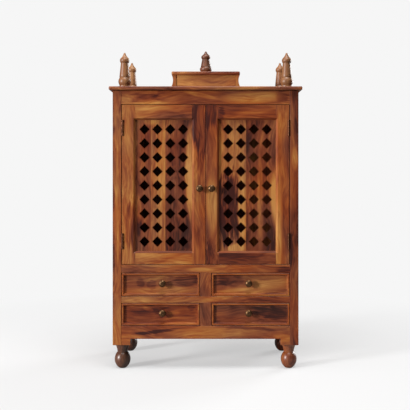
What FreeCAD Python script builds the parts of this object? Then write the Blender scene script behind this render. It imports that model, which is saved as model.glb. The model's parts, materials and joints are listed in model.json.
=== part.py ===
import FreeCAD, Part
import os
import re
import Sketcher

# Pooja mandir: a sheesham cabinet on four turned feet. Two lattice doors close the shrine,
# four drawers lie under it, and turned finials stand on the top board and on its cap.
# Millimetres, +Z up, front towards -Y, origin on the floor under the middle of the cabinet.

SIZES = {
    # Carcass, from side to side and from front to back
    "body_width": 891,
    "body_depth": 440,
    "top_overhang": 17.5,
    "back_overhang": 2,
    "post_side": 41,
    "rail_thick": 22,
    "face_step": 1,
    "ease": 1,
    # Levels of the front, one above the other from the floor
    "foot_height": 116,
    "ear_drop": 30,
    "apron_height": 63,
    "lower_opening": 110,
    "divider_height": 31,
    "upper_opening": 113,
    "mid_rail_height": 39,
    "door_opening": 769,
    "lintel_height": 67,
    "top_thick": 18,
    "top_round": 6,
    # Inside boards and panels
    "ear_width": 44,
    "panel_thick": 15,
    "panel_inset": 8,
    "back_thick": 9,
    "back_inset": 10,
    "floor_thick": 18,
    "dust_thick": 12,
    "block_side": 44,
    "muntin_width": 54,
    # Turned feet
    "foot_inset": 43,
    "foot_top_radius": 36,
    "foot_neck_radius": 24,
    "foot_ball_radius": 38,
    "foot_flat_radius": 16,
    "foot_neck_level": 77,
    "foot_ball_level": 36,
    # Doors
    "door_gap": 5,
    "door_thick": 24,
    "stile_width": 62,
    "door_top_rail": 70,
    "door_bottom_rail": 60,
    "door_bevel_width": 9,
    "door_bevel_depth": 12,
    "lattice_step": 13,
    "lattice_thick": 8,
    "lattice_tongue": 9,
    "lattice_columns": 4,
    "lattice_rows": 9,
    "lattice_side_margin": 43.5,
    "lattice_end_margin": 44.5,
    "diamond_side_gap": 12,
    "diamond_end_gap": 15,
    # Butt hinges
    "barrel_radius": 5,
    "pin_radius": 2,
    "hinge_play": 0.3,
    "hinge_length": 76,
    "leaf_thick": 2,
    "barrel_side": 6,
    "barrel_proud": 1,
    "hinge_margin": 107.5,
    # Drawers
    "drawer_gap": 5,
    "drawer_thick": 20,
    "drawer_rim": 5,
    "drawer_bevel_width": 5,
    "drawer_bevel_depth": 10,
    "tray_height": 85,
    "tray_depth": 370,
    "tray_wall": 12,
    "tray_floor": 8,
    "runner_play": 0.5,
    "guide_height": 25,
    # Knobs
    "knob_length": 28,
    "knob_radius": 17,
    "knob_base_radius": 11,
    "knob_neck_radius": 6,
    "knob_base_thick": 4,
    "knob_head_thick": 14,
    "knob_crown_radius": 4,
    "door_knob_drop": 18.5,
    "door_knob_side": 26,
    "drawer_knob_shift": 9,
    "drawer_knob_rise": 6,
    # Cap on the top board
    "cap_width": 341,
    "cap_depth": 160,
    "cap_slab_thick": 18,
    "cap_height": 73,
    "cap_base_width": 366,
    "cap_waist_width": 327,
    "cap_waist_level": 48,
    "cap_neck_width": 338,
    "cap_inner_width": 298,
    "cap_board_thick": 14,
    "cap_board_step": 4,
    # Turned finials
    "finial_inset": 53,
    "finial_height": 168,
    "finial_groove_level": 50,
    "finial_head": 50,
    "crown_height": 111,
    "crown_groove_level": 34,
    "crown_head": 40,
    "finial_base_radius": 26,
    "finial_bulb_radius": 30.5,
    "finial_groove_radius": 24,
    "finial_shoulder_radius": 25.5,
    "finial_neck_radius": 18.5,
    "finial_collar_radius": 23,
    "finial_spike_radius": 17.5,
    "finial_waist_radius": 10.5,
    "finial_tip_radius": 6,
    "finial_tip_flat": 1,
}

doc = FreeCAD.newDocument("PoojaMandir")
sheet = doc.addObject("Spreadsheet::Sheet", "Sizes")
for row, (alias, value) in enumerate(SIZES.items(), start=1):
    sheet.set(f"A{row}", alias)
    sheet.set(f"B{row}", str(value))
    sheet.setAlias(f"B{row}", alias)
doc.recompute()

WORD = re.compile(r"[a-z][a-z_]+")
X_WAY = FreeCAD.Vector(1, 0, 0)
nodes = []


def cells(text):
    """Point each size name in an expression at its cell of the sheet."""
    return WORD.sub(lambda word: f"Sizes.{word[0]}" if word[0] in SIZES else word[0], str(text))


def bind(thing, **expressions):
    """Bind properties of an object to expressions in the sizes."""
    for name, text in expressions.items():
        thing.setExpression(name, cells(text))


def place(thing, x=0, y=0, z=0):
    """Bind an object's place."""
    for axis, text in (("x", x), ("y", y), ("z", z)):
        thing.setExpression(f".Placement.Base.{axis}", cells(text))


def number(text):
    """What an expression comes to with the sizes as they are."""
    return float(sheet.evalExpression(cells(text)))


def keep(thing, name):
    """Name a finished piece, which gets a node and a file of its own."""
    thing.Label = name
    nodes.append(thing)
    return thing


def pair(name, left):
    """A left piece and its mirror image, which share a node."""
    keep(group(name, [left, mirrored(name + "_right", left)]), name)


def left_and_right(name, left):
    """A left piece and its mirror image, each with a node of its own."""
    keep(left, "left_" + name)
    keep(mirrored("right_" + name, left), "right_" + name)


def origin_feature(body, role):
    """One of a body's own planes or axes."""
    return [item for item in body.Origin.OriginFeatures if item.Role == role][0]


def new_body(name):
    return doc.addObject("PartDesign::Body", name)


def blank(body, x, y, z, length, width, height):
    """Start a body with a sawn board."""
    box = body.newObject("PartDesign::AdditiveBox", body.Name + "Blank")
    bind(box, Length=length, Width=width, Height=height)
    place(box, x, y, z)
    return box


def ease_edges(body, base):
    """Take the sharp arris off every edge."""
    doc.recompute()
    chamfer = body.newObject("PartDesign::Chamfer", body.Name + "Ease")
    chamfer.Base = (base, [""])
    chamfer.UseAllEdges = True
    bind(chamfer, Size="ease")


def board(name, x, y, z, length, width, height):
    """A plain board with eased edges, given by its lowest corner."""
    body = new_body(name)
    ease_edges(body, blank(body, x, y, z, length, width, height))
    return body


def outline(body, role, points):
    """A closed sketch through points given as expressions; a third item bends the
    line that leaves a point into an arc through that pair."""
    sketch = body.newObject("Sketcher::SketchObject", body.Name + "Outline")
    sketch.AttachmentSupport = [(origin_feature(body, role), "")]
    sketch.MapMode = "FlatFace"
    spots = [FreeCAD.Vector(number(point[0]), number(point[1]), 0) for point in points]
    for index, point in enumerate(points):
        start, end = spots[index], spots[(index + 1) % len(spots)]
        if len(point) > 2:
            through = FreeCAD.Vector(number(point[2][0]), number(point[2][1]), 0)
            if (through - start).cross(end - start).z < 0:
                start, end = end, start
            sketch.addGeometry(Part.Arc(start, through, end), False)
        else:
            sketch.addGeometry(Part.LineSegment(start, end), False)
    forward = [leaves_from_start(sketch.Geometry[index], spots[index]) for index in range(len(points))]
    for index, point in enumerate(points):
        after = (index + 1) % len(points)
        here_end = 2 if forward[index] else 1
        next_start = 1 if forward[after] else 2
        sketch.addConstraint(Sketcher.Constraint("Coincident", index, here_end, after, next_start))
    for index, point in enumerate(points):
        pin_point(sketch, index, 1 if forward[index] else 2, point[0], point[1])
        if len(point) > 2:
            through = FreeCAD.Vector(number(point[2][0]), number(point[2][1]), 0)
            mark = sketch.addGeometry(Part.Point(through), True)
            pin_point(sketch, mark, 1, *point[2])
            sketch.addConstraint(Sketcher.Constraint("PointOnObject", mark, 1, index))
    return sketch


def leaves_from_start(edge, spot):
    """Whether an edge's own start is the given spot."""
    return (edge.StartPoint - spot).Length < (edge.EndPoint - spot).Length


def pin_point(sketch, index, end, x, y):
    """Hold a sketch point at a place that follows the sizes."""
    for kind, text in (("DistanceX", x), ("DistanceY", y)):
        value = number(text)
        if str(text) == "0":
            line = -2 if kind == "DistanceX" else -1
            sketch.addConstraint(Sketcher.Constraint("PointOnObject", index, end, line))
            continue
        row = sketch.addConstraint(Sketcher.Constraint(kind, -1, 1, index, end, value))
        sketch.setExpression(f"Constraints[{row}]", cells(text))


def pad(body, sketch, length):
    """Raise a sketch on both sides of its plane alike."""
    solid = body.newObject("PartDesign::Pad", body.Name + "Pad")
    solid.Profile = sketch
    solid.SideType = "Symmetric"
    bind(solid, Length=length)
    return solid


def turned(name, points):
    """A piece turned on a lathe from half of its outline, in radius and height."""
    body = new_body(name)
    sketch = outline(body, "XZ_Plane", points)
    spin = body.newObject("PartDesign::Revolution", name + "Spin")
    spin.Profile = sketch
    spin.ReferenceAxis = (sketch, ["V_Axis"])
    spin.Angle = 360
    return body


def mirrored(name, source):
    """The right hand piece, as the left one across the middle of the cabinet."""
    copy = doc.addObject("Part::Mirroring", name)
    copy.Source = source
    copy.Normal = X_WAY
    return copy


def group(name, pieces):
    """Like pieces that share a node and don't touch."""
    bundle = doc.addObject("Part::Compound", name)
    bundle.Links = pieces
    return bundle


# Places across the cabinet
DOOR_REACH = "(knob_length - face_step)"
FRONT = f"(({DOOR_REACH} - body_depth - back_overhang) / 2)"
BACK = f"({FRONT} + body_depth)"
MIDDLE = f"({FRONT} + body_depth / 2)"
HALF = "(body_width / 2)"
POST_INNER = f"({HALF} - post_side)"
PANEL_INNER = f"({HALF} - panel_inset - panel_thick)"
FACE = f"({FRONT} + face_step)"
RAIL_BACK = f"({FACE} + rail_thick)"
BACK_BOARD = f"({BACK} - back_inset - back_thick)"
FRONT_POST_BACK = f"({FRONT} + post_side)"
BACK_POST_FRONT = f"({BACK} - post_side)"

# Levels above the floor
APRON_LOW = "(foot_height + ear_drop)"
APRON_TOP = f"({APRON_LOW} + apron_height)"
DIVIDER_LOW = f"({APRON_TOP} + lower_opening)"
DIVIDER_TOP = f"({DIVIDER_LOW} + divider_height)"
MID_LOW = f"({DIVIDER_TOP} + upper_opening)"
MID_TOP = f"({MID_LOW} + mid_rail_height)"
LINTEL_LOW = f"({MID_TOP} + door_opening)"
BODY_TOP = f"({LINTEL_LOW} + lintel_height)"
TOP_FACE = f"({BODY_TOP} + top_thick)"
CAP_FACE = f"({TOP_FACE} + cap_height + cap_slab_thick)"


def posts():
    """Four square corner posts, from the feet to the top board."""
    for end, y in (("front", FRONT), ("back", BACK_POST_FRONT)):
        left = board(f"left_{end}_post", f"-{HALF}", y, "foot_height",
                     "post_side", "post_side", f"{BODY_TOP} - foot_height")
        pair(f"{end}_posts", left)


def front_rails():
    """Rails between the front posts, and the short uprights between the drawers."""
    for name, low, height in (
        ("lintel_rail", LINTEL_LOW, "lintel_height"),
        ("middle_rail", MID_LOW, "mid_rail_height"),
        ("drawer_divider_rail", DIVIDER_LOW, "divider_height"),
    ):
        keep(board(name, f"-{POST_INNER}", FACE, low, f"2 * {POST_INNER}", "rail_thick", height), name)
    uprights = [
        board(name, "-muntin_width / 2", FACE, low, "muntin_width", "rail_thick", height)
        for name, low, height in (
            ("upper_muntin", DIVIDER_TOP, "upper_opening"),
            ("lower_muntin", APRON_TOP, "lower_opening"),
        )
    ]
    keep(group("drawer_muntins", uprights), "drawer_muntins")


def eared_outline(half, low, high, ear):
    """A board with an ear at each end that drops to the top of the feet."""
    inner = f"({half} - {ear})"
    return [
        (f"-{half}", "foot_height"), (f"-{inner}", "foot_height"), (f"-{inner}", low),
        (inner, low), (inner, "foot_height"), (half, "foot_height"),
        (half, high), (f"-{half}", high),
    ]


def front_apron():
    """The apron under the lower drawers, cut from one board with square ears."""
    body = new_body("front_apron")
    sketch = outline(body, "XZ_Plane", eared_outline(POST_INNER, APRON_LOW, APRON_TOP, "ear_width"))
    ease_edges(body, pad(body, sketch, "rail_thick"))
    place(body, 0, f"{FACE} + rail_thick / 2", 0)
    keep(body, "front_apron")


def side_and_back_panels():
    """Flat panels between the posts, with ears over the feet as on the front."""
    depth = "(body_depth / 2 - post_side)"
    left = new_body("left_side_panel")
    sketch = outline(left, "YZ_Plane", eared_outline(depth, APRON_LOW, BODY_TOP, "ear_width"))
    ease_edges(left, pad(left, sketch, "panel_thick"))
    place(left, f"-{PANEL_INNER} - panel_thick / 2", MIDDLE, 0)
    pair("side_panels", left)
    back = new_body("back_panel")
    sketch = outline(back, "XZ_Plane", eared_outline(POST_INNER, APRON_LOW, BODY_TOP, "ear_width"))
    ease_edges(back, pad(back, sketch, "back_thick"))
    place(back, 0, f"{BACK_BOARD} + back_thick / 2", 0)
    keep(back, "back_panel")


def inside_board(name, top, thick):
    """A full board inside the carcass, notched round the four posts."""
    body = new_body(name)
    inner, outer = POST_INNER, PANEL_INNER
    right = [
        (inner, RAIL_BACK), (inner, FRONT_POST_BACK), (outer, FRONT_POST_BACK),
        (outer, BACK_POST_FRONT), (inner, BACK_POST_FRONT), (inner, BACK_BOARD),
    ]
    left = [(f"-{x}", y) for x, y in reversed(right)]
    sketch = outline(body, "XY_Plane", right + left)
    pad(body, sketch, thick)
    place(body, 0, 0, f"{top} - {thick} / 2")
    keep(body, name)


def corner_blocks():
    """Glue blocks behind the posts, which the feet are screwed to."""
    blocks = []
    for end, y in (("front", FRONT_POST_BACK), ("back", f"{BACK_POST_FRONT} - block_side")):
        left = board(f"left_{end}_block", f"-{PANEL_INNER}", y, "foot_height",
                     f"{PANEL_INNER} - {POST_INNER} + block_side", "block_side",
                     f"{APRON_TOP} - dust_thick - foot_height")
        blocks += [left, mirrored(f"right_{end}_block", left)]
    keep(group("corner_blocks", blocks), "corner_blocks")


def feet():
    """Turned feet: a cone under the post, a neck, and a ball with a flat to stand on."""
    profile = [
        (0, 0),
        ("foot_flat_radius", 0, ("foot_ball_radius", "foot_ball_level")),
        ("foot_neck_radius", "foot_neck_level",
         ("(foot_neck_radius + foot_top_radius) / 2 - 2", "(foot_neck_level + foot_height) / 2")),
        ("foot_top_radius", "foot_height"),
        (0, "foot_height"),
    ]
    pieces = []
    for end, y in (("front", f"{FRONT} + foot_inset"), ("back", f"{BACK} - foot_inset")):
        left = turned(f"left_{end}_foot", profile)
        place(left, f"-{HALF} + foot_inset", y, 0)
        pieces += [left, mirrored(f"right_{end}_foot", left)]
    keep(group("feet", pieces), "feet")


def top_board():
    """The top board, which stands proud of the carcass with rounded edges."""
    name = "top_board"
    body = new_body(name)
    box = blank(body, f"-{HALF} - top_overhang", f"{FRONT} - top_overhang", BODY_TOP,
                "body_width + 2 * top_overhang", "body_depth + top_overhang + back_overhang", "top_thick")
    round_edges(body, box)
    keep(body, name)


def round_edges(body, base):
    """Round every edge of a moulded board."""
    doc.recompute()
    fillet = body.newObject("PartDesign::Fillet", body.Name + "Round")
    fillet.Base = (base, [""])
    fillet.UseAllEdges = True
    bind(fillet, Radius="top_round")


def cap():
    """The small cap: two coved ends, boards between them, and a slab on top."""
    left = new_body("left_cap_end")
    sketch = outline(left, "XZ_Plane", [
        ("-cap_base_width / 2", 0), ("-cap_inner_width / 2", 0), ("-cap_inner_width / 2", "cap_height"),
        ("-cap_neck_width / 2", "cap_height", ("-cap_waist_width / 2", "cap_waist_level")),
    ])
    pad(left, sketch, "cap_depth - 2 * top_round")
    place(left, 0, MIDDLE, TOP_FACE)
    pair("cap_ends", left)
    depth = "(cap_depth / 2 - top_round - cap_board_step)"
    boards = [
        board(name, "-cap_inner_width / 2", y, TOP_FACE, "cap_inner_width", "cap_board_thick", "cap_height")
        for name, y in (("cap_front_board", f"{MIDDLE} - {depth}"),
                        ("cap_back_board", f"{MIDDLE} + {depth} - cap_board_thick"))
    ]
    keep(group("cap_boards", boards), "cap_boards")
    slab = new_body("cap_slab")
    box = blank(slab, "-cap_width / 2", f"{MIDDLE} - cap_depth / 2", f"{TOP_FACE} + cap_height",
                "cap_width", "cap_depth", "cap_slab_thick")
    round_edges(slab, box)
    keep(slab, "cap_slab")


def finial_profile(height, groove, head):
    """A finial: a foot disc, a bulb, a groove, a tapered body, and a head with a round
    collar that sweeps in to a blunt tip. The groove and the head are given by their heights."""
    neck = f"({height} - {head})"
    return [
        (0, 0),
        ("finial_base_radius", 0),
        ("finial_base_radius", f"{groove} * 0.16"),
        ("finial_groove_radius", f"{groove} * 0.2", ("finial_bulb_radius", f"{groove} * 0.58")),
        ("finial_groove_radius", f"{groove} * 0.94"),
        ("finial_shoulder_radius", groove),
        ("finial_neck_radius", neck, ("finial_collar_radius", f"{neck} + {head} * 0.22")),
        ("finial_spike_radius", f"{neck} + {head} * 0.5",
         ("finial_waist_radius", f"{neck} + {head} * 0.66")),
        ("finial_tip_radius", f"{neck} + {head} * 0.84",
         ("finial_tip_radius * 0.7", f"{neck} + {head} * 0.95")),
        ("finial_tip_flat", height),
        (0, height),
    ]


def finials():
    """Finials over the four posts and one on the middle of the cap."""
    pieces = []
    for end, y in (("front", f"{FRONT} + foot_inset"), ("back", f"{BACK} - foot_inset")):
        left = turned(f"left_{end}_finial",
                      finial_profile("finial_height", "finial_groove_level", "finial_head"))
        place(left, f"-{HALF} + finial_inset", y, TOP_FACE)
        pieces += [left, mirrored(f"right_{end}_finial", left)]
    keep(group("corner_finials", pieces), "corner_finials")
    crown = turned("centre_finial",
                   finial_profile("crown_height", "crown_groove_level", "crown_head"))
    place(crown, 0, MIDDLE, CAP_FACE)
    keep(crown, "centre_finial")


# The left door, from its hinge edge to its meeting edge
DOOR_HINGE_EDGE = f"(-{POST_INNER} + door_gap)"
DOOR_MEETING_EDGE = "(-door_gap / 2)"
DOOR_LOW = f"({MID_TOP} + door_gap)"
DOOR_HIGH = f"({LINTEL_LOW} - door_gap)"
SIGHT_LEFT = f"({DOOR_HINGE_EDGE} + stile_width)"
SIGHT_RIGHT = f"({DOOR_MEETING_EDGE} - stile_width)"
SIGHT_LOW = f"({DOOR_LOW} + door_bottom_rail)"
SIGHT_HIGH = f"({DOOR_HIGH} - door_top_rail)"
SIGHT_WIDTH = f"({SIGHT_RIGHT} - {SIGHT_LEFT})"
SIGHT_HEIGHT = f"({SIGHT_HIGH} - {SIGHT_LOW})"
LATTICE_FRONT = f"({FACE} + lattice_step)"
AXIS_X = f"(-{POST_INNER} + barrel_side)"
AXIS_Y = f"({FACE} - barrel_proud)"


def cut_sight_bevel(body):
    """Bevel the front edge round the sight opening, mitred at the corners."""
    cut_wedge(body, "door_bevel_width", "door_bevel_depth",
              SIGHT_LEFT, SIGHT_RIGHT, SIGHT_LOW, SIGHT_HIGH)


def cut_wedge(body, width, depth, left, right, low, high):
    """Cut down from the front face to a smaller rectangle, with a slope on all four sides.
    The cutter starts a depth before the face, where it is twice as far out."""
    wedge = body.newObject("PartDesign::SubtractiveWedge", body.Name + "Wedge")
    bind(wedge, Xmin=f"{left} - 2 * {width}", Xmax=f"{right} + 2 * {width}",
         Zmin=f"{low} - 2 * {width}", Zmax=f"{high} + 2 * {width}",
         Ymin=f"{FACE} - {depth}", Ymax=f"{FACE} + {depth}",
         X2min=left, X2max=right, Z2min=low, Z2max=high)


def cut_lattice_groove(body):
    """Plough the groove that holds the edge of the lattice panel."""
    groove = body.newObject("PartDesign::SubtractiveBox", body.Name + "Groove")
    bind(groove, Length=f"{SIGHT_WIDTH} + 2 * lattice_tongue", Width="lattice_thick",
         Height=f"{SIGHT_HEIGHT} + 2 * lattice_tongue")
    place(groove, f"{SIGHT_LEFT} - lattice_tongue", LATTICE_FRONT, f"{SIGHT_LOW} - lattice_tongue")


HINGE_LEVELS = {
    "upper": f"({DOOR_HIGH} - hinge_margin)",
    "lower": f"({DOOR_LOW} + hinge_margin)",
}


def cut_hinge_notch(body, level):
    """Cut the door's edge back round a hinge barrel."""
    notch = body.newObject("PartDesign::SubtractiveBox", body.Name + "Notch")
    room = "(barrel_radius + 2 * hinge_play)"
    bind(notch, Length=f"{AXIS_X} + {room} - {DOOR_HINGE_EDGE} + ease", Width=f"{room} + barrel_proud",
         Height="hinge_length + 2 * hinge_play")
    place(notch, f"{DOOR_HINGE_EDGE} - ease", f"{AXIS_Y} - barrel_proud",
          f"{level} - hinge_length / 2 - hinge_play")


def door_member(name, x, z, length, height):
    """A stile or a rail of the left door, bevelled and grooved."""
    body = board(name, x, FACE, z, length, "door_thick", height)
    cut_sight_bevel(body)
    cut_lattice_groove(body)
    return body


def door_frame():
    """The mortised frame of each door: two stiles and two rails."""
    hinge_stile = door_member("hinge_stile", DOOR_HINGE_EDGE, DOOR_LOW, "stile_width",
                              f"{DOOR_HIGH} - {DOOR_LOW}")
    for level in HINGE_LEVELS.values():
        cut_hinge_notch(hinge_stile, level)
    meeting_stile = door_member("meeting_stile", SIGHT_RIGHT, DOOR_LOW, "stile_width",
                                f"{DOOR_HIGH} - {DOOR_LOW}")
    top_rail = door_member("door_top_rail_board", SIGHT_LEFT, SIGHT_HIGH, SIGHT_WIDTH, "door_top_rail")
    bottom_rail = door_member("door_bottom_rail_board", SIGHT_LEFT, DOOR_LOW,
                              SIGHT_WIDTH, "door_bottom_rail")
    left_and_right("door_stiles", group("door_stiles", [hinge_stile, meeting_stile]))
    left_and_right("door_rails", group("door_rails", [top_rail, bottom_rail]))


def door_lattice():
    """The panel of each door, pierced with rows of upright diamonds."""
    body = new_body("door_lattice")
    width = f"({SIGHT_WIDTH} + 2 * lattice_tongue)"
    height = f"({SIGHT_HEIGHT} + 2 * lattice_tongue)"
    panel = blank(body, f"-{width} / 2", "-lattice_thick / 2", f"-{height} / 2",
                  width, "lattice_thick", height)
    columns_wide = f"({SIGHT_WIDTH} - 2 * lattice_side_margin)"
    rows_high = f"({SIGHT_HEIGHT} - 2 * lattice_end_margin)"
    half_wide = f"({columns_wide} / (lattice_columns - 1) - diamond_side_gap) / 2"
    half_high = f"({rows_high} / (lattice_rows - 1) - diamond_end_gap) / 2"
    first_x, first_z = f"-{columns_wide} / 2", f"-{rows_high} / 2"
    sketch = outline(body, "XZ_Plane", [
        (f"{first_x} - {half_wide}", first_z), (first_x, f"{first_z} - {half_high}"),
        (f"{first_x} + {half_wide}", first_z), (first_x, f"{first_z} + {half_high}"),
    ])
    doc.recompute()
    hole = body.newObject("PartDesign::Pocket", "DiamondHole")
    hole.Profile = sketch
    hole.SideType = "Symmetric"
    bind(hole, Length="2 * lattice_thick")
    doc.recompute()
    if hole.Shape.Volume > panel.Shape.Volume - 1:
        raise RuntimeError("the diamond cuts nothing")
    steps = []
    for role, count, reach in (("X_Axis", "lattice_columns", columns_wide),
                               ("Z_Axis", "lattice_rows", rows_high)):
        step = body.newObject("PartDesign::LinearPattern", "Along" + role[0])
        step.Direction = (origin_feature(body, role), [""])
        bind(step, Length=reach, Occurrences=count)
        steps.append(step)
    field = body.newObject("PartDesign::MultiTransform", "DiamondField")
    field.Originals = [hole]
    field.Transformations = steps
    body.Tip = field
    place(body, f"({SIGHT_LEFT} + {SIGHT_RIGHT}) / 2", f"{LATTICE_FRONT} + lattice_thick / 2",
          f"({SIGHT_LOW} + {SIGHT_HIGH}) / 2")
    left_and_right("door_lattice", body)


def solid_box(name, x, y, z, length, width, height):
    box = doc.addObject("Part::Box", name)
    bind(box, Length=length, Width=width, Height=height)
    place(box, x, y, z)
    return box


def rod(name, radius, x, y, z, height):
    """An upright cylinder."""
    cylinder = doc.addObject("Part::Cylinder", name)
    bind(cylinder, Radius=radius, Height=height)
    place(cylinder, x, y, z)
    return cylinder


def fused(name, pieces):
    joined = doc.addObject("Part::MultiFuse", name)
    joined.Shapes = pieces
    return joined


KNUCKLES = 5


def hinge_half(name, level, leaf_x, own_rows):
    """One leaf of a butt hinge with its knuckles round the pin's line."""
    low = f"({level} - hinge_length / 2)"
    pitch = f"(hinge_length / {KNUCKLES})"
    clear = f"({AXIS_Y} + barrel_radius + hinge_play)"
    pieces = [solid_box(name + "Leaf", leaf_x, clear, low, "leaf_thick",
                        f"{FACE} + door_thick - {clear}", "hinge_length")]
    for row in own_rows:
        foot = f"({low} + {row} * {pitch} + hinge_play / 2)"
        tall = f"({pitch} - hinge_play)"
        pieces.append(rod(f"{name}Knuckle{row}", "barrel_radius", AXIS_X, AXIS_Y, foot, tall))
        pieces.append(solid_box(f"{name}Web{row}", leaf_x, AXIS_Y, foot, "leaf_thick",
                                f"{clear} - {AXIS_Y} + 1", tall))
    return pieces, low


def hinges():
    """Two butt hinges a door: leaf and pin on the post, and leaf on the door's edge."""
    post_leaf = f"(-{POST_INNER})"
    door_leaf = f"({DOOR_HINGE_EDGE} - leaf_thick)"
    post_halves, door_halves = [], []
    for end, level in HINGE_LEVELS.items():
        pieces, low = hinge_half(f"{end}PostHinge", level, post_leaf, (0, 2, 4))
        pieces.append(rod(f"{end}Pin", "pin_radius", AXIS_X, AXIS_Y, low, "hinge_length"))
        post_halves.append(fused(f"{end}_post_leaf", pieces))
        pieces, low = hinge_half(f"{end}DoorHinge", level, door_leaf, (1, 3))
        bore = rod(f"{end}Bore", "pin_radius + hinge_play", AXIS_X, AXIS_Y, low, "hinge_length")
        leaf = doc.addObject("Part::Cut", f"{end}_door_leaf")
        leaf.Base = fused(f"{end}DoorLeafSolid", pieces)
        leaf.Tool = bore
        door_halves.append(leaf)
    left_post = group("left_post_leaves", post_halves)
    keep(group("post_hinge_leaves", [left_post, mirrored("right_post_leaves", left_post)]),
         "post_hinge_leaves")
    left_and_right("door_hinge_leaves", group("door_hinge_leaves", door_halves))


def knob(name):
    """A metal knob, turned upright and laid down to point forward."""
    head_low = "(knob_length - knob_head_thick)"
    body = turned(name, [
        (0, 0),
        ("knob_base_radius", 0),
        ("knob_base_radius", "knob_base_thick / 2"),
        ("knob_neck_radius + 1", "knob_base_thick",
         ("knob_neck_radius", f"(knob_base_thick + {head_low}) / 2")),
        ("knob_neck_radius + 1", head_low,
         ("knob_radius - 1.5", f"{head_low} + knob_head_thick * 0.22")),
        ("knob_radius", f"{head_low} + knob_head_thick * 0.45",
         ("knob_radius * 0.75", "knob_length - knob_head_thick * 0.18")),
        ("knob_crown_radius", "knob_length"),
        (0, "knob_length"),
    ])
    body.Placement = FreeCAD.Placement(FreeCAD.Vector(), FreeCAD.Rotation(X_WAY, 90))
    return body


def door_knobs():
    left = knob("door_knob")
    place(left, f"{DOOR_MEETING_EDGE} - door_knob_side", FACE,
          f"{MID_TOP} + door_opening / 2 - door_knob_drop")
    left_and_right("door_knob", left)


# The left drawers, between the post and the muntin
DRAWER_LEFT = f"(-{POST_INNER} + drawer_gap)"
DRAWER_RIGHT = "(-muntin_width / 2 - drawer_gap)"
DRAWER_WIDTH = f"({DRAWER_RIGHT} - {DRAWER_LEFT})"


def drawer_front(name, low, opening):
    """A drawer front with a narrow rim and a bevelled, sunk field."""
    low_edge = f"({low} + drawer_gap)"
    high_edge = f"({low} + {opening} - drawer_gap)"
    body = board(name, DRAWER_LEFT, FACE, low_edge, DRAWER_WIDTH, "drawer_thick",
                 f"{high_edge} - {low_edge}")
    margin = "(drawer_rim + drawer_bevel_width)"
    cut_wedge(body, "drawer_bevel_width", "drawer_bevel_depth",
              f"({DRAWER_LEFT} + {margin})", f"({DRAWER_RIGHT} - {margin})",
              f"({low_edge} + {margin})", f"({high_edge} - {margin})")
    return body


def drawer_tray(name, low):
    """The open box of a drawer, which slides on the board below it."""
    body = new_body(name)
    floor = f"({low} + runner_play)"
    blank(body, DRAWER_LEFT, f"{FACE} + drawer_thick", floor, DRAWER_WIDTH, "tray_depth", "tray_height")
    room = body.newObject("PartDesign::SubtractiveBox", name + "Room")
    bind(room, Length=f"{DRAWER_WIDTH} - 2 * tray_wall", Width="tray_depth - 2 * tray_wall",
         Height="tray_height")
    place(room, f"{DRAWER_LEFT} + tray_wall", f"{FACE} + drawer_thick + tray_wall", f"{floor} + tray_floor")
    return body


def drawers():
    """Two drawers above two: each a front, a tray and a knob."""
    for row, low, opening in (("upper", DIVIDER_TOP, "upper_opening"),
                              ("lower", APRON_TOP, "lower_opening")):
        front = drawer_front(f"{row}_left_drawer_front", low, opening)
        tray = drawer_tray(f"{row}_left_drawer_tray", low)
        pull = knob(f"{row}_left_drawer_knob")
        place(pull, f"({DRAWER_LEFT} + {DRAWER_RIGHT}) / 2 + drawer_knob_shift",
              f"{FACE} + drawer_bevel_depth", f"{low} + {opening} / 2 + drawer_knob_rise")
        for part, piece in (("front", front), ("tray", tray), ("knob", pull)):
            keep(piece, f"{row}_left_drawer_{part}")
            keep(mirrored(f"{row}_right_drawer_{part}", piece), f"{row}_right_drawer_{part}")


def drawer_guides():
    """Strips on the boards that keep the drawers straight as they slide."""
    for row, low in (("upper", DIVIDER_TOP), ("lower", APRON_TOP)):
        side = board(f"{row}_side_guide", f"-{PANEL_INNER}", FRONT_POST_BACK, low,
                     f"{PANEL_INNER} + {DRAWER_LEFT} - runner_play",
                     f"{BACK_POST_FRONT} - {FRONT_POST_BACK}", "guide_height")
        centre = board(f"{row}_centre_guide", f"{DRAWER_RIGHT} + runner_play", RAIL_BACK, low,
                       f"-2 * ({DRAWER_RIGHT} + runner_play)", f"{BACK_BOARD} - {RAIL_BACK}", "guide_height")
        strips = [side, centre, mirrored(f"{row}_far_guide", side)]
        keep(group(f"{row}_drawer_guides", strips), f"{row}_drawer_guides")


def build():
    posts()
    front_rails()
    front_apron()
    side_and_back_panels()
    inside_board("shrine_floor", MID_TOP, "floor_thick")
    inside_board("upper_dust_board", DIVIDER_TOP, "dust_thick")
    inside_board("base_board", APRON_TOP, "dust_thick")
    corner_blocks()
    feet()
    top_board()
    cap()
    finials()
    door_frame()
    door_lattice()
    hinges()
    door_knobs()
    drawers()
    drawer_guides()
    doc.recompute()


def check_and_write():
    """Stop on any failed object or bad shape, then write one file for each piece."""
    for thing in doc.Objects:
        if "Invalid" in thing.State or "Error" in thing.State:
            raise RuntimeError(f"{thing.Label} failed: {thing.State}")
    for piece in nodes:
        if piece.Shape.isNull() or not piece.Shape.isValid() or not piece.Shape.Solids:
            raise RuntimeError(f"{piece.Label} has no valid solid")
    os.makedirs("parts", exist_ok=True)
    for piece in nodes:
        piece.Shape.exportStep(os.path.join("parts", piece.Label + ".step"))
    print(len(nodes), "nodes written")


build()
check_and_write()
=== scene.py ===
import json
import random
from math import radians

import bmesh
import bpy
from mathutils import Matrix, Vector

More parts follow.
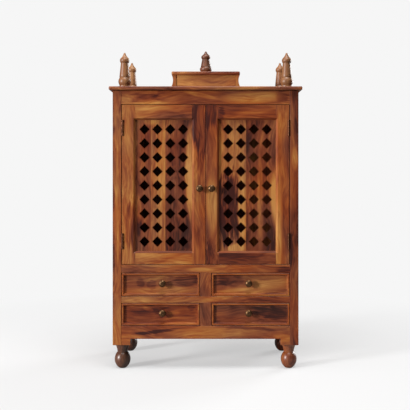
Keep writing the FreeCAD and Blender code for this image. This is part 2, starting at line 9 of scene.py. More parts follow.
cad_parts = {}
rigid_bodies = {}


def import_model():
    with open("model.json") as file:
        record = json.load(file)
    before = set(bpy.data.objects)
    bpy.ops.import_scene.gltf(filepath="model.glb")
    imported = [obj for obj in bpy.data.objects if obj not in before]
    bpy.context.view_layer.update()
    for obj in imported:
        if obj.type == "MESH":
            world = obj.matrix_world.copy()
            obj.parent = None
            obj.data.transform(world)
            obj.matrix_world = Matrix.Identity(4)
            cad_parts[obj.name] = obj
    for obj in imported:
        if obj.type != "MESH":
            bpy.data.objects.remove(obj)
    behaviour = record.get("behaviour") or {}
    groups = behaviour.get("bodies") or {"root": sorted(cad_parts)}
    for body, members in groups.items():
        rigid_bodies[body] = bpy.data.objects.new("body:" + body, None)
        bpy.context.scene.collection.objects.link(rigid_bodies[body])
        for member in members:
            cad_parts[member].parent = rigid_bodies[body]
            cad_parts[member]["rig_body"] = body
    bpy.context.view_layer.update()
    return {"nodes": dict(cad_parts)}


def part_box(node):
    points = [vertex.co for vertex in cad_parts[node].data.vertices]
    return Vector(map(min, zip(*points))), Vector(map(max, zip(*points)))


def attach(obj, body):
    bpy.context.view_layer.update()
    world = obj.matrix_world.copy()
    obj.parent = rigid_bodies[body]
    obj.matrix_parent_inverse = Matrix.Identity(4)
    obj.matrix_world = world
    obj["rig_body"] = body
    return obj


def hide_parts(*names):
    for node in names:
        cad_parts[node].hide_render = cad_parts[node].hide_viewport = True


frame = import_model()
cad = frame["nodes"]


# Corner posts
# Four square posts of sheesham, planed and lacquered, stand on the feet and carry the top board.
# Everything else is tenoned or screwed to them.

X, Y, Z = 0, 1, 2
MM = 0.001

# Sheesham's colours from sapwood to the darkest streaks, in browner and in redder heartwood.
BROWN_HEART = ("#ae7a43", "#9b6636", "#844f2c", "#6d3b26", "#532819", "#2f150e")
RED_HEART = ("#b07636", "#a06028", "#90491c", "#7a3614", "#63260f", "#3a110a")

# Sheesham's clouds of colour are about 110 mm wide and its figure about 34 mm, and both run long
# with the grain. Its pores and fine lines, 0.3 mm wide, are drawn 7 mm wide, so that they show.
# The sway bends the grain, and the hue chooses between brown and red. Each layer has a width in
# mm, a scale along the grain, detail and roughness, and its share is how far it moves the tone.
LAYERS = {
    "sway": (240, 0.6, 2.0, 0.5),
    "clouds": (110, 0.3, 1.0, 0.5),
    "figure": (34, 0.09, 4.0, 0.68),
    "lines": (7, 0.07, 1.0, 0.5),
    "hue": (80, 0.3, 1.0, 0.5),
}
SHARES = {"clouds": 0.9, "figure": 1.1, "lines": 0.65}
SWAY_REACH = 130 * MM
HUE_CONTRAST = 2.4
SEED_STEPS = (1.37, 2.11, 0.73)

# A mark is a streak or knot of its own tone. It fades over its rim, its edge is ragged where the
# figure and the lines pull at it, its outline sways with the grain, and it goes right through.
MARK_START = -3.0
MARK_PULLS = {"figure": 3.5, "lines": 1.5}
MARK_EDGE = 3.0
MARK_RIM = 6.0
MARK_WARP = 0.6
MARK_DEPTH = 9

# Satin lacquer over open pores: its shine and its surface vary a little with the fine lines.
LACQUER_SPECULAR = 0.3
LACQUER_ROUGHNESS = 0.36
PORE_DULLNESS = 0.1
PORE_BUMP = 0.06
PORE_DEPTH = 0.6 * MM

# The grain of each glued stave starts at a place of its own.
STAVE_STEP = 0.37
STAVE_JUMP = (1, 1, 3)


def linear(code):
    """An sRGB hex colour as the linear colour that a socket takes."""
    colour = []
    for at in (1, 3, 5):
        part = int(code[at:at + 2], 16) / 255
        colour.append(part / 12.92 if part <= 0.04045 else ((part + 0.055) / 1.055) ** 2.4)
    return colour + [1]


def add_node(tree, kind, settings=None, links=None, stops=()):
    """Add a node, set its properties, fill or link its sockets by name, or by number where names
    repeat, and set the stops of its colour ramp."""
    made = tree.nodes.new(kind)
    for name, value in (settings or {}).items():
        setattr(made, name, value)
    for name, value in (links or {}).items():
        if isinstance(value, bpy.types.NodeSocket):
            tree.links.new(value, made.inputs[name])
        else:
            made.inputs[name].default_value = value
    for row, (spot, colour) in enumerate(stops):
        elements = made.color_ramp.elements
        element = elements[row] if row < len(elements) else elements.new(1)
        element.position, element.color = spot, colour
    return made


def stave_shift(tree, spot, staves, high, across):
    """Shift in tone, and jump in the grain, from one glued stave to the next."""
    low = staves[0][0]
    place = add_node(tree, "ShaderNodeSeparateXYZ", links={"Vector": spot})
    share = add_node(tree, "ShaderNodeMapRange", links={
        "Value": place.outputs[across], "From Min": low, "From Max": high})
    strips = add_node(tree, "ShaderNodeValToRGB", links={"Fac": share.outputs[0]}, stops=[
        ((edge - low) / (high - low), (0.5 + shift, row * STAVE_STEP % 1, 0, 1))
        for row, (edge, shift) in enumerate(staves)])
    strips.color_ramp.interpolation = "CONSTANT"
    parts = add_node(tree, "ShaderNodeSeparateColor", links={"Color": strips.outputs["Color"]})
    jump = add_node(tree, "ShaderNodeVectorMath", {"operation": "SCALE"},
                    {0: STAVE_JUMP, "Scale": parts.outputs["Green"]})
    moved = add_node(tree, "ShaderNodeVectorMath", {"operation": "ADD"},
                     {0: spot, 1: jump.outputs[0]})
    shift = add_node(tree, "ShaderNodeMath", {"operation": "SUBTRACT"},
                     {0: parts.outputs["Red"], 1: 0.5})
    return shift.outputs[0], moved.outputs[0]


def grain_layer(tree, layer, grain, along, seed):
    """One layer of the wood's pattern, drawn out along the grain."""
    width, stretch, detail, rough = LAYERS[layer]
    scale = [1.0] * 3
    scale[along] = stretch
    laid = add_node(tree, "ShaderNodeMapping", links={
        "Vector": grain, "Location": [seed * step for step in SEED_STEPS], "Scale": scale})
    return add_node(tree, "ShaderNodeTexNoise", links={
        "Vector": laid.outputs[0], "Scale": 1 / (width * MM), "Detail": detail, "Roughness": rough})


def with_marks(tree, level, marks, spot, bend, patterns):
    """The tone with marks laid over it. Each mark is its place in x and z, width, height, turn in
    degrees and change in tone, where more is darker."""
    ragged = MARK_START
    for layer, pull in MARK_PULLS.items():
        ragged = add_node(tree, "ShaderNodeMath", {"operation": "MULTIPLY_ADD"},
                          {0: patterns[layer], 1: pull, 2: ragged}).outputs[0]
    for x, z, wide, tall, turn, change in marks:
        warped = add_node(tree, "ShaderNodeVectorMath", {"operation": "MULTIPLY_ADD"},
                          {0: bend, 1: (wide * MARK_WARP, 0, tall * MARK_WARP), 2: spot})
        local = add_node(tree, "ShaderNodeMapping", {"vector_type": "TEXTURE"}, {
            "Vector": warped.outputs[0], "Location": (x, 0, z), "Rotation": (0, radians(-turn), 0),
            "Scale": (wide / 2, MARK_DEPTH, tall / 2)})
        patch = add_node(tree, "ShaderNodeTexGradient", {"gradient_type": "SPHERICAL"},
                         {"Vector": local.outputs[0]}).outputs[1]
        edge = add_node(tree, "ShaderNodeMath", {"operation": "MULTIPLY_ADD", "use_clamp": True},
                        {0: patch, 1: MARK_EDGE, 2: ragged})
        rim = add_node(tree, "ShaderNodeMath", {"operation": "MULTIPLY", "use_clamp": True},
                       {0: patch, 1: MARK_RIM})
        cover = add_node(tree, "ShaderNodeMath", {"operation": "MULTIPLY"},
                         {0: edge.outputs[0], 1: rim.outputs[0]})
        level = add_node(tree, "ShaderNodeMath", {"operation": "MULTIPLY_ADD"},
                         {0: cover.outputs[0], 1: change, 2: level}).outputs[0]
    return level


def sheesham(name, along, seed, tone=0.5, marks=(), red=0.5, hearts=(BROWN_HEART, RED_HEART),
             staves=None, across=X, high=0, roughness=0.45, coat=0.05, contrast=1.0):
    """Sheesham, an Indian rosewood: amber sapwood, orange brown heartwood and purple brown
    figure in bands along the board, under satin lacquer. seed picks the board's own figure,
    tone runs from 0, sap, to 1, heart, and red from 0, brown, to 1. A contrast under 1 gives a
    quieter board. A glued-up board has staves, each with its edge and shift in tone, up to high
    on the axis across them."""
    finish = bpy.data.materials.new(name)
    finish.use_nodes = True
    tree = finish.node_tree
    shader = tree.nodes["Principled BSDF"]
    shader.inputs["Specular IOR Level"].default_value = LACQUER_SPECULAR
    shader.inputs["Coat Weight"].default_value = coat
    shader.inputs["Coat Roughness"].default_value = LACQUER_ROUGHNESS
    spot = add_node(tree, "ShaderNodeTexCoord").outputs["Object"]
    stave_tone, grain = None, spot
    if staves:
        stave_tone, grain = stave_shift(tree, spot, staves, high, across)
    sway = grain_layer(tree, "sway", grain, along, seed)
    bend = add_node(tree, "ShaderNodeVectorMath", {"operation": "SUBTRACT"},
                    {0: sway.outputs["Color"], 1: (0.5, 0.5, 0.5)}).outputs[0]
    reach = [SWAY_REACH] * 3
    reach[along] = 0
    bent = add_node(tree, "ShaderNodeVectorMath", {"operation": "MULTIPLY_ADD"},
                    {0: bend, 1: reach, 2: grain}).outputs[0]
    patterns = {layer: grain_layer(tree, layer, bent, along, seed).outputs[0]
                for layer in ("clouds", "figure", "lines", "hue")}
    level = tone - sum(SHARES.values()) * contrast / 2
    if stave_tone:
        level = add_node(tree, "ShaderNodeMath", {"operation": "ADD"},
                         {0: stave_tone, 1: level}).outputs[0]
    for layer, share in SHARES.items():
        level = add_node(tree, "ShaderNodeMath", {"operation": "MULTIPLY_ADD"},
                         {0: patterns[layer], 1: share * contrast, 2: level}).outputs[0]
    if marks:
        level = with_marks(tree, level, marks, spot, bend, patterns)
    brown, reddish = [
        add_node(tree, "ShaderNodeValToRGB", links={"Fac": level}, stops=[
            (row / (len(codes) - 1), linear(code)) for row, code in enumerate(codes)])
        for codes in hearts]
    redness = add_node(tree, "ShaderNodeMath", {"operation": "MULTIPLY_ADD", "use_clamp": True},
                       {0: patterns["hue"], 1: HUE_CONTRAST, 2: red - HUE_CONTRAST / 2})
    colour = add_node(tree, "ShaderNodeMix", {"data_type": "RGBA"}, {
        0: redness.outputs[0], 6: brown.outputs["Color"], 7: reddish.outputs["Color"]})
    tree.links.new(colour.outputs[2], shader.inputs["Base Color"])
    bump = add_node(tree, "ShaderNodeBump", links={
        "Height": patterns["lines"], "Strength": PORE_BUMP, "Distance": PORE_DEPTH})
    tree.links.new(bump.outputs[0], shader.inputs["Normal"])
    sheen = add_node(tree, "ShaderNodeMapRange", links={
        "Value": patterns["lines"], "To Min": roughness + PORE_DULLNESS,
        "To Max": roughness - PORE_DULLNESS})
    tree.links.new(sheen.outputs[0], shader.inputs["Roughness"])
    return finish


# The CAD meshes are loose triangles, whose points are merged. Edges that turn by more than the
# angle stay sharp. A point within an arris of a piece's side is on its eased edge, and moves too.
MERGE_DISTANCE = 0.01 * MM
SHARP_ANGLE = radians(35)
ARRIS = 1.5 * MM


def dress(node, finishes, choose=None, widen=(0, 0, 0, 0)):
    """A smooth-shaded copy of a CAD piece. choose gives a face's place in the list of finishes,
    and widen moves the piece's outermost faces out to the left and right, down and up."""
    mesh = bpy.data.meshes.new(node + "_dressed")
    shape = bmesh.new()
    shape.from_mesh(cad[node].data)
    bmesh.ops.remove_doubles(shape, verts=shape.verts, dist=MERGE_DISTANCE)
    low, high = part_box(node)
    left, right, down, up = widen
    for point in shape.verts:
        point.co.x += right * (point.co.x > high.x - ARRIS) - left * (point.co.x < low.x + ARRIS)
        point.co.z += up * (point.co.z > high.z - ARRIS) - down * (point.co.z < low.z + ARRIS)
    shape.normal_update()
    for face in shape.faces:
        face.smooth = True
        face.material_index = int(choose(face)) if choose else 0
    for edge in shape.edges:
        edge.smooth = edge.calc_face_angle() < SHARP_ANGLE
    shape.to_mesh(mesh)
    shape.free()
    # The loose triangles' own normals would hide the sharp edges.
    mesh.attributes.remove(mesh.attributes["custom_normal"])
    for finish in finishes:
        mesh.materials.append(finish)
    piece = bpy.data.objects.new(mesh.name, mesh)
    bpy.context.scene.collection.objects.link(piece)
    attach(piece, cad[node]["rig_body"])
    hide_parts(node)
    return piece


def on_right(face):
    """Whether a face belongs to the post or foot on the right."""
    return face.calc_center_median().x > 0


left_post_wood = sheesham("sheesham_left_post", Z, seed=3, tone=0.47, marks=[
    (-0.441, 0.56, 0.02, 0.26, 0, 0.4), (-0.441, 0.82, 0.02, 0.22, 0, 0.35),
    (-0.441, 1.2, 0.02, 0.2, 0, 0.2), (-0.422, 1.0, 0.016, 0.5, 0, -0.2),
    (-0.42, 0.6, 0.016, 0.3, 0, -0.2)])
right_post_wood = sheesham("sheesham_right_post", Z, seed=8, tone=0.76, red=0.7, marks=[
    (0.425, 1.01, 0.045, 0.16, 0, -0.3), (0.41, 0.58, 0.02, 0.22, 0, 0.25),
    (0.432, 1.15, 0.03, 0.2, 0, 0.2)])
dress("front_posts", [left_post_wood, right_post_wood], on_right)
dress("back_posts", [sheesham("sheesham_back_post", Z, seed=5)])


# Rails and apron
# Boards between the front posts, sawn from long planks, so the figure runs across the cabinet.
# The apron is one board with square ears that stand over the feet.

lintel_wood = sheesham("sheesham_lintel", X, seed=11, red=0.7, marks=[
    (-0.38, 1.30, 0.07, 0.08, 0, -0.15), (-0.24, 1.278, 0.3, 0.02, 0, -0.3),
    (-0.25, 1.31, 0.26, 0.03, -8, 0.15), (-0.01, 1.314, 0.2, 0.026, -14, -0.3),
    (0.22, 1.302, 0.34, 0.08, 4, -0.42), (0.36, 1.305, 0.09, 0.08, 0, 0.2)])
middle_rail_wood = sheesham("sheesham_middle_rail", X, seed=12, red=0.6, marks=[
    (-0.02, 0.478, 0.2, 0.03, 0, -0.3), (0.33, 0.5, 0.14, 0.02, 0, -0.3),
    (0.37, 0.475, 0.12, 0.04, 0, 0.35)])
divider_wood = sheesham("sheesham_divider", X, seed=13, marks=[
    (-0.34, 0.335, 0.34, 0.06, 0, -0.18), (-0.12, 0.33, 0.36, 0.03, 4, -0.1),
    (0.09, 0.343, 0.26, 0.034, 12, -0.25), (0.3, 0.33, 0.3, 0.05, 0, 0.15)])
apron_wood = sheesham("sheesham_apron", X, seed=15, tone=0.56, red=0.6, marks=[
    (0.03, 0.18, 0.7, 0.08, 0, -0.16), (-0.38, 0.152, 0.2, 0.05, 0, -0.25),
    (-0.24, 0.184, 0.4, 0.022, 6, 0.4), (0.2, 0.2, 0.4, 0.02, -4, 0.3),
    (0.37, 0.15, 0.14, 0.05, 0, -0.2)])
dress("lintel_rail", [lintel_wood])
dress("middle_rail", [middle_rail_wood])
dress("drawer_divider_rail", [divider_wood])
dress("drawer_muntins", [sheesham("sheesham_muntin", Z, seed=14, tone=0.52, red=0.7)])
dress("front_apron", [apron_wood])


# Panels and boards of the case
# Sides, back and inside boards of sheesham, each glued up from staves 8 to 10 cm wide, whose
# tones differ. They close the case between the posts and rails.


def even_staves(low, high, width, spread, seed):
    """Edges of the staves in a glued-up panel, each with its own shift in tone."""
    draw = random.Random(seed)
    count = round((high - low) / width)
    return [(low + (high - low) * row / count, draw.uniform(-spread, spread))
            for row in range(count)]


side_wood = sheesham("sheesham_side", Z, seed=21, across=Y, high=0.2,
                     staves=even_staves(-0.17, 0.2, width=0.092, spread=0.12, seed=4))
dress("side_panels", [side_wood])
back_wood = sheesham("sheesham_back", Z, seed=22, high=0.41,
                     staves=even_staves(-0.41, 0.41, width=0.1, spread=0.12, seed=5))
dress("back_panel", [back_wood])
floor_wood = sheesham("sheesham_boards", X, seed=23, across=Y, high=0.22,
                      staves=even_staves(-0.2, 0.22, width=0.08, spread=0.1, seed=6))
for node in ("shrine_floor", "upper_dust_board", "base_board"):
    dress(node, [floor_wood])
dress("corner_blocks", [sheesham("sheesham_blocks", Z, seed=24)])


# Feet
# Four feet of sheesham, turned on a lathe from square blanks: a cone, a neck and a ball that
# stands on a small flat. Polished as they spin, they are browner and glossier than the boards.

TURNED_HEART = ("#ba8c5e", "#9e7248", "#825837", "#65402a", "#492e21", "#2d1c15")

left_foot_wood = sheesham("sheesham_left_foot", Z, seed=31, tone=0.8, red=0.1,
                          hearts=(TURNED_HEART, BROWN_HEART), roughness=0.35, coat=0.5, contrast=0.6)
right_foot_wood = sheesham("sheesham_right_foot", Z, seed=32, tone=0.56, red=0.3,
                           roughness=0.35, coat=0.4, contrast=0.9)
dress("feet", [left_foot_wood, right_foot_wood], on_right)


# Top board and cap
# The top board stands proud all round, with its edges rounded over. The cap on it is a low box:
# two ends cut to a hollow curve, a board between them at front and back, and a slab on top.

top_wood = sheesham("sheesham_top", X, seed=41, red=0.3, across=Y, high=0.24,
                    staves=even_staves(-0.23, 0.24, width=0.09, spread=0.12, seed=7))
dress("top_board", [top_wood])
dress("cap_ends", [sheesham("sheesham_cap_ends", Z, seed=42, tone=0.35, red=0.3)])
dress("cap_boards", [sheesham("sheesham_cap_board", X, seed=43, tone=0.17, red=0.15, contrast=0.9)])
dress("cap_slab", [sheesham("sheesham_cap_slab", X, seed=44)])


# Finials
# Five turned finials of sheesham with a foot disc, a bulb, a groove, a tapered body and a
# collared head. Four stand over the corners of the top board, and the fifth on the cap.

finial_wood = sheesham("sheesham_finial", Z, seed=51, tone=0.34, red=0.2,
                       hearts=(TURNED_HEART, BROWN_HEART), coat=0.2, contrast=0.6)
crown_wood = sheesham("sheesham_centre_finial", Z, seed=52, tone=0.7, red=0.5,
                      hearts=(TURNED_HEART, BROWN_HEART), coat=0.2, contrast=0.6)
dress("corner_finials", [finial_wood])
dress("centre_finial", [crown_wood])


# Doors
# Each door is a mortised frame, bevelled round its opening, with a panel pierced by rows of
# diamonds. The panel is glued up from unlike staves and sits in a groove.

# The solids keep 5 mm of play round a door. Its edges are drawn this much farther out, because
# the real gaps look narrower.
HINGE_SIDE = 1.8 * MM
MEETING_SIDE = 1.5 * MM
DOOR_END = 2.5 * MM
# A meeting stile is nearer to the cabinet's middle than this, and a low rail is lower than this.
MEETING_REACH = 0.2
LOW_RAIL_TOP = 0.8
# A face leans where its normal has more than this of each of two directions.
LEAN = 0.3


def at_meeting_edge(face):
    """Whether a face belongs to the meeting stile."""
    return abs(face.calc_center_median().x) < MEETING_REACH


def rail_part(face):
    """Top rail, low rail, or the low rail's upward bevel, left matt and painted darker as painted
    shade.
    """
    low = face.calc_center_median().z < LOW_RAIL_TOP
    return 2 if low and face.normal.z > LEAN and face.normal.y < -LEAN else low


def sawn_hole(face):
    """Whether a face is the slanting wall of a diamond hole."""
    return abs(face.normal.x) > LEAN and abs(face.normal.z) > LEAN


# Each door's meeting stile, hinge stile, top rail and low rail.
frame_woods = {
    "left": [
        sheesham("sheesham_left_meeting_stile", Z, seed=63, tone=0.49, red=0.7, marks=[
            (-0.02, 1.15, 0.14, 0.5, 0, 0.4), (-0.03, 0.96, 0.03, 0.3, 0, 0.2)]),
        sheesham("sheesham_left_hinge_stile", Z, seed=61, tone=0.38, red=0.6, marks=[
            (-0.36, 0.66, 0.08, 0.36, 0, 0.3), (-0.37, 1.15, 0.04, 0.3, 0, -0.2)]),
        sheesham("sheesham_left_top_rail", X, seed=65, red=0.6, marks=[
            (-0.24, 1.25, 0.26, 0.04, 0, -0.15), (-0.12, 1.21, 0.1, 0.03, 0, 0.15)]),
        sheesham("sheesham_left_low_rail", X, seed=67, tone=0.4, red=0.6, marks=[
            (-0.22, 0.552, 0.32, 0.05, 0, -0.2), (-0.2, 0.515, 0.2, 0.02, 0, 0.1)]),
    ],
    "right": [
        sheesham("sheesham_right_meeting_stile", Z, seed=64, tone=0.55, red=0.6, marks=[
            (0.02, 1.24, 0.12, 0.22, 0, 0.35), (0.03, 0.78, 0.08, 0.5, 0, -0.45),
            (0.03, 0.53, 0.1, 0.2, 0, 0.25)]),
        sheesham("sheesham_right_hinge_stile", Z, seed=62, tone=0.52, red=0.7, marks=[
            (0.345, 0.62, 0.06, 0.7, -3, -0.4), (0.37, 1.2, 0.09, 0.36, 0, -0.3)]),
        sheesham("sheesham_right_top_rail", X, seed=66, tone=0.62, red=0.8, marks=[
            (0.07, 1.215, 0.07, 0.12, 0, 0.3), (0.22, 1.235, 0.2, 0.03, 4, -0.15)]),
        sheesham("sheesham_right_low_rail", X, seed=68, tone=0.72, red=0.6),
    ],
}
lattice_woods = {
    "left": sheesham(
        "sheesham_left_lattice", Z, seed=71, high=-0.05,
        staves=[(-0.3475, 0.05), (-0.2636, -0.2), (-0.1943, 0.28)], marks=[
            (-0.325, 0.76, 0.04, 0.16, 0, -0.3), (-0.33, 0.68, 0.06, 0.12, 0, 0.25),
            (-0.27, 1.19, 0.08, 0.06, 0, -0.3), (-0.21, 1.17, 0.06, 0.08, 0, 0.2),
            (-0.15, 1.16, 0.16, 0.2, 0, -0.3), (-0.065, 0.98, 0.085, 0.76, 0, -0.8)]),
    "right": sheesham(
        "sheesham_right_lattice", Z, seed=72, high=0.35,
        staves=[(0.055, -0.05), (0.194, 0.2)], marks=[
            (0.105, 0.81, 0.13, 0.54, 0, 0.6), (0.172, 0.82, 0.05, 0.6, 0, -0.3),
            (0.13, 0.58, 0.12, 0.06, 0, -0.4), (0.34, 0.79, 0.09, 0.42, 4, -0.7),
            (0.262, 0.8, 0.04, 0.6, 0, -0.25), (0.26, 1.1, 0.1, 0.2, 0, -0.15)]),
}
# Sawn faces that the lacquer hardly reaches are dull, and the holes' walls get painted shade.
hole_shade_wood = sheesham("sheesham_sawn_hole_painted_shade", Z, seed=73, tone=0.95, roughness=0.7, contrast=0.4)
# The low rail's upward bevel is painted darker: painted shade that tones down the light it catches.
slope_shade_wood = sheesham("sheesham_sawn_slope_painted_shade", X, seed=74, tone=0.62, roughness=0.8, coat=0,
                      contrast=0.6)
for side in ("left", "right"):
    meeting, hinge, top, low = frame_woods[side]
    sides = (HINGE_SIDE, MEETING_SIDE) if side == "left" else (MEETING_SIDE, HINGE_SIDE)
    dress(f"{side}_door_stiles", [hinge, meeting], at_meeting_edge, (*sides, DOOR_END, DOOR_END))
    dress(f"{side}_door_rails", [top, low, slope_shade_wood], rail_part, (0, 0, DOOR_END, DOOR_END))
    dress(f"{side}_door_lattice", [lattice_woods[side], hole_shade_wood], sawn_hole)


# Hinges and knobs
# Steel butt hinges, browned dark, with one leaf on the post and one on the door, and cast brass
# knobs, fixed to the meeting stiles, that have aged to a dull brown.

# Tarnish lies in patches some 5 mm wide, which read as a mottled, uneven shine.
TARNISH_WIDTH = 5 * MM
TARNISH_DEPTH = 0.2 * MM
TARNISH_BUMP = 0.2
TARNISH_DULLNESS = 0.12
TARNISHED_BELOW, RUBBED_ABOVE = 0.35, 0.65


def metal(name, tarnished, rubbed, roughness):
    """Old metal, dull and dark in patches and rubbed brighter between them."""
    finish = bpy.data.materials.new(name)
    finish.use_nodes = True
    tree = finish.node_tree
    shader = tree.nodes["Principled BSDF"]
    shader.inputs["Metallic"].default_value = 1
    spot = add_node(tree, "ShaderNodeTexCoord").outputs["Object"]
    patches = add_node(tree, "ShaderNodeTexNoise", links={
        "Vector": spot, "Scale": 1 / TARNISH_WIDTH, "Detail": 3.0, "Roughness": 0.6}).outputs[0]
    colour = add_node(tree, "ShaderNodeValToRGB", links={"Fac": patches}, stops=[
        (TARNISHED_BELOW, linear(tarnished)), (RUBBED_ABOVE, linear(rubbed))])
    sheen = add_node(tree, "ShaderNodeMapRange", links={
        "Value": patches, "To Min": roughness + TARNISH_DULLNESS,
        "To Max": roughness - TARNISH_DULLNESS})
    bump = add_node(tree, "ShaderNodeBump", links={
        "Height": patches, "Strength": TARNISH_BUMP, "Distance": TARNISH_DEPTH})
    tree.links.new(colour.outputs["Color"], shader.inputs["Base Color"])
    tree.links.new(sheen.outputs[0], shader.inputs["Roughness"])
    tree.links.new(bump.outputs[0], shader.inputs["Normal"])
    return finish


browned_steel = metal("browned_steel", "#452a1e", "#6e4430", roughness=0.5)
aged_brass = metal("aged_brass", "#432f1e", "#7a5a3e", roughness=0.48)
for node in ("post_hinge_leaves", "left_door_hinge_leaves", "right_door_hinge_leaves"):
    dress(node, [browned_steel])
for node in ("left_door_knob", "right_door_knob"):
    dress(node, [aged_brass])


# Hinge screws
# Three countersunk steel screws hold each leaf. Their heads lie flush, 8 mm across, with a
# straight slot, and are seen only with a door open.

SCREW_RADIUS = 4 * MM
SCREW_RISE = 0.2 * MM
SCREW_SIDES = 20
SCREW_STEP = 23 * MM
SLOT_WIDTH = 1 * MM
SLOT_LENGTH = SCREW_RADIUS * 1.7
HINGE_LENGTH = 76 * MM
LEAF_WIDTH = 18 * MM
LEAF_THICKNESS = 2 * MM
leaves_low, leaves_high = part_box("post_hinge_leaves")
hinge_levels = (leaves_low.z + HINGE_LENGTH / 2, leaves_high.z - HINGE_LENGTH / 2)
leaf_middle = leaves_high.y - LEAF_WIDTH / 2
post_leaf_face = leaves_high.x - LEAF_THICKNESS
door_leaf_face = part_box("right_door_stiles")[1].x + LEAF_THICKNESS
# The floor of a slot gets next to no light, so it looks nearly black.
slot_steel = metal("shaded_screw_slot", "#100a08", "#1a110d", roughness=0.7)


def screws(name, places, body):
    """Screw heads on hinge leaves. Each place is x and the way the heads face there, -1 for left
    and 1 for right."""
    mesh = bpy.data.meshes.new(name)
    finishes = [browned_steel, slot_steel]
    heads = bmesh.new()
    sideways = Matrix.Rotation(radians(90), 4, "Y")
    slot_size = Matrix.Diagonal((SCREW_RISE, SLOT_WIDTH, SLOT_LENGTH, 1))
    for x, way in places:
        for level in hinge_levels:
            for row in (-1, 0, 1):
                spot = Vector((x + way * SCREW_RISE / 2, leaf_middle, level + row * SCREW_STEP))
                bmesh.ops.create_cone(heads, cap_ends=True, segments=SCREW_SIDES,
                                      radius1=SCREW_RADIUS, radius2=SCREW_RADIUS,
                                      depth=SCREW_RISE, matrix=Matrix.Translation(spot) @ sideways)
                first = len(heads.faces)
                lift = Matrix.Translation(spot + Vector((way * SCREW_RISE / 2, 0, 0)))
                bmesh.ops.create_cube(heads, size=1, matrix=lift @ slot_size)
                heads.faces.ensure_lookup_table()
                for face in heads.faces[first:]:
                    face.material_index = finishes.index(slot_steel)
    heads.to_mesh(mesh)
    heads.free()
    for finish in finishes:
        mesh.materials.append(finish)
    piece = bpy.data.objects.new(name, mesh)
    bpy.context.scene.collection.objects.link(piece)
    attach(piece, body)


screws("left_door_hinge_screws", [(-door_leaf_face, -1)], "left_door")
screws("right_door_hinge_screws", [(door_leaf_face, 1)], "right_door")
screws("post_hinge_screws", [(-post_leaf_face, 1), (post_leaf_face, -1)], "cabinet")


# Drawers
# Four drawers: a bevelled front from one board, a plain box that slides on the board below,
# and a knob like those of the doors.

# Each front is drawn this much farther out at its edges, for the same reason as the doors.
FRONT_REACH = 2.5 * MM
# Its rim is square to the front, and within this of its foremost plane.
SQUARE_ON = 0.99
RIM_DEPTH = 1 * MM
rim_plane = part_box("upper_left_drawer_front")[0].y


def on_rim(face):
    """Whether a face is the narrow flat rim round a drawer front, painted paler as a painted
    highlight.
    """
    return face.normal.y < -SQUARE_ON and face.calc_center_median().y < rim_plane + RIM_DEPTH


drawer_woods = {
    "upper_left_drawer": sheesham("sheesham_upper_left_drawer", X, seed=81, tone=0.55, marks=[
        (-0.315, 0.418, 0.05, 0.07, 0, 0.2), (-0.262, 0.41, 0.06, 0.07, 0, 0.2),
        (-0.2, 0.375, 0.5, 0.05, 0, -0.3), (-0.08, 0.42, 0.2, 0.08, 0, 0.2)]),
    "upper_right_drawer": sheesham("sheesham_upper_right_drawer", X, seed=82, tone=0.56, marks=[
        (0.1, 0.43, 0.2, 0.09, 0, 0.35), (0.32, 0.415, 0.3, 0.1, 0, -0.3),
        (0.13, 0.38, 0.3, 0.02, 4, -0.25), (0.3, 0.358, 0.3, 0.024, 0, 0.3)]),
    "lower_left_drawer": sheesham(
        "sheesham_lower_left_drawer", X, seed=83, tone=0.66, red=1.0, marks=[
            (-0.28, 0.29, 0.07, 0.026, -20, -0.3), (-0.165, 0.268, 0.09, 0.03, 0, -0.2),
            (-0.075, 0.29, 0.05, 0.05, 0, 0.2), (-0.26, 0.305, 0.06, 0.016, 0, 0.3),
            (-0.14, 0.219, 0.24, 0.016, 0, -0.35)]),
    "lower_right_drawer": sheesham(
        "sheesham_lower_right_drawer", X, seed=84, tone=0.78, red=0.3, marks=[
            (0.29, 0.27, 0.24, 0.08, 0, 0.15)]),
}
# The rim is painted paler than the field: a painted highlight where the rim's edge catches the
# light.
rim_highlight_wood = sheesham("sheesham_drawer_rim_painted_highlight", X, seed=85, tone=0.43, red=0.7, contrast=0.8)
tray_wood = sheesham("sheesham_tray", X, seed=89, tone=0.38)
for drawer, front_wood in drawer_woods.items():
    dress(drawer + "_front", [front_wood, rim_highlight_wood], on_rim, (FRONT_REACH,) * 4)
    dress(drawer + "_tray", [tray_wood])
    dress(drawer + "_knob", [aged_brass])
guide_wood = sheesham("sheesham_guides", Y, seed=90, tone=0.4)
for node in ("upper_drawer_guides", "lower_drawer_guides"):
    dress(node, [guide_wood])


# Studio floor
# A wide sheet of pale matt paper. Round the cabinet it takes light and shadow, and farther out
# it fades to an even pale glow, as an overexposed backdrop does.

PAPER = linear("#f6f6f6")
PAPER_GREY = 0.34
FLOOR_REACH = 60
# The paper that takes shadows ends 1 / 0.45 metres from the middle, and fades from halfway out.
FADE_SCALE = 0.45
FADE_FROM = 0.5
# Each strength as it lights the cabinet, and as the camera sees it.
FAR_LIGHT, FAR_LOOK = 0.15, 1.0
NEAR_LIGHT, NEAR_LOOK = 0.0, 0.495

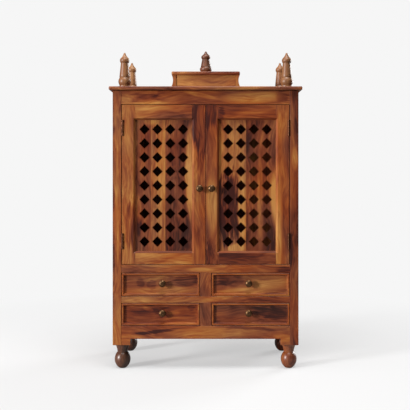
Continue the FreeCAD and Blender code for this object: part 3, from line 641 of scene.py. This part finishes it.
floor_mesh = bpy.data.meshes.new("studio_floor")
ground = bmesh.new()
bmesh.ops.create_grid(ground, x_segments=1, y_segments=1, size=FLOOR_REACH)
ground.to_mesh(floor_mesh)
ground.free()
paper = bpy.data.materials.new("studio_paper")
paper.use_nodes = True
tree = paper.node_tree
place = add_node(tree, "ShaderNodeTexCoord").outputs["Object"]
spread = add_node(tree, "ShaderNodeMapping", links={"Vector": place, "Scale": [FADE_SCALE] * 3})
fade = add_node(tree, "ShaderNodeTexGradient", {"gradient_type": "SPHERICAL"},
                {"Vector": spread.outputs[0]})
nearness = add_node(tree, "ShaderNodeMapRange", links={
    "Value": fade.outputs[1], "From Max": FADE_FROM})
seen = add_node(tree, "ShaderNodeLightPath").outputs["Is Camera Ray"]
far_glow = add_node(tree, "ShaderNodeMapRange", links={
    "Value": seen, "To Min": FAR_LIGHT, "To Max": FAR_LOOK})
near_glow = add_node(tree, "ShaderNodeMapRange", links={
    "Value": seen, "To Min": NEAR_LIGHT, "To Max": NEAR_LOOK})
far_paper = add_node(tree, "ShaderNodeEmission", links={
    "Color": PAPER, "Strength": far_glow.outputs[0]})
near_fill = add_node(tree, "ShaderNodeEmission", links={
    "Color": PAPER, "Strength": near_glow.outputs[0]})
matt = add_node(tree, "ShaderNodeBsdfDiffuse", links={"Color": [PAPER_GREY] * 3 + [1]})
near_paper = add_node(tree, "ShaderNodeAddShader", links={
    0: near_fill.outputs[0], 1: matt.outputs[0]})
mixed = add_node(tree, "ShaderNodeMixShader", links={
    0: nearness.outputs[0], 1: far_paper.outputs[0], 2: near_paper.outputs[0]})
tree.links.new(mixed.outputs[0], tree.nodes["Material Output"].inputs["Surface"])
floor_mesh.materials.append(paper)
floor = bpy.data.objects.new("studio_floor", floor_mesh)
bpy.context.scene.collection.objects.link(floor)


# Studio surround
# The pale room round the cabinet. It looks brighter than the light that it gives, so that the
# lamps still model the wood.

ROOM_LIGHT, ROOM_LOOK = 0.12, 1.0

surround = bpy.data.worlds.new("studio_surround")
surround.use_nodes = True
room = surround.node_tree
seen = add_node(room, "ShaderNodeLightPath").outputs["Is Camera Ray"]
room_glow = add_node(room, "ShaderNodeMapRange", links={
    "Value": seen, "To Min": ROOM_LIGHT, "To Max": ROOM_LOOK})
backdrop = room.nodes["Background"]
backdrop.inputs["Color"].default_value = PAPER
room.links.new(room_glow.outputs[0], backdrop.inputs["Strength"])
bpy.context.scene.world = surround
bpy.context.scene.view_settings.view_transform = "Standard"


# Studio lamps
# Three square softboxes: the key lamp at the left in front, a wide one overhead that lights the
# top and makes the shadow below, and one behind at the right that lights the back.


def lamp(name, place, aim, size, watts):
    """A square softbox that faces a point."""
    light = bpy.data.lights.new(name, "AREA")
    light.size = size
    light.energy = watts
    box = bpy.data.objects.new(name, light)
    box.location = place
    box.rotation_euler = (Vector(aim) - Vector(place)).to_track_quat("-Z", "Y").to_euler()
    bpy.context.scene.collection.objects.link(box)


lamp("key_softbox", place=(-8.0, -5.2, 2.5), aim=(0, 0, 0.9), size=1.8, watts=1220)
lamp("ceiling_softbox", place=(0.1, -1.4, 5.5), aim=(0, 0, 0.6), size=3.0, watts=290)
lamp("rear_softbox", place=(6.5, 6.0, 3.2), aim=(0, 0, 0.8), size=4.0, watts=650)


# Camera
# It stands square to the front, nearly 4 m away. The photograph's frame, focal length, horizon
# and middle line are in pixels, and the eye's place is in metres.

FRAME_PIXELS = 410
FOCAL_PIXELS = 770
HORIZON_ROW = 170
CENTRE_COLUMN = 205.6
EYE_SIDE = 0.02
EYE_DISTANCE = 3.690
EYE_HEIGHT = 0.956
SENSOR_WIDTH = 36

lens = bpy.data.cameras.new("studio_camera")
lens.sensor_width = SENSOR_WIDTH
lens.lens = SENSOR_WIDTH * FOCAL_PIXELS / FRAME_PIXELS
axis_column = CENTRE_COLUMN + EYE_SIDE * FOCAL_PIXELS / EYE_DISTANCE
lens.shift_x = (FRAME_PIXELS / 2 - axis_column) / FRAME_PIXELS
lens.shift_y = (HORIZON_ROW - FRAME_PIXELS / 2) / FRAME_PIXELS
eye = bpy.data.objects.new("studio_camera", lens)
front_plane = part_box("front_posts")[0].y
eye.location = (EYE_SIDE, front_plane - EYE_DISTANCE, EYE_HEIGHT)
eye.rotation_euler = (radians(90), 0, 0)
bpy.context.scene.collection.objects.link(eye)
bpy.context.scene.camera = eye
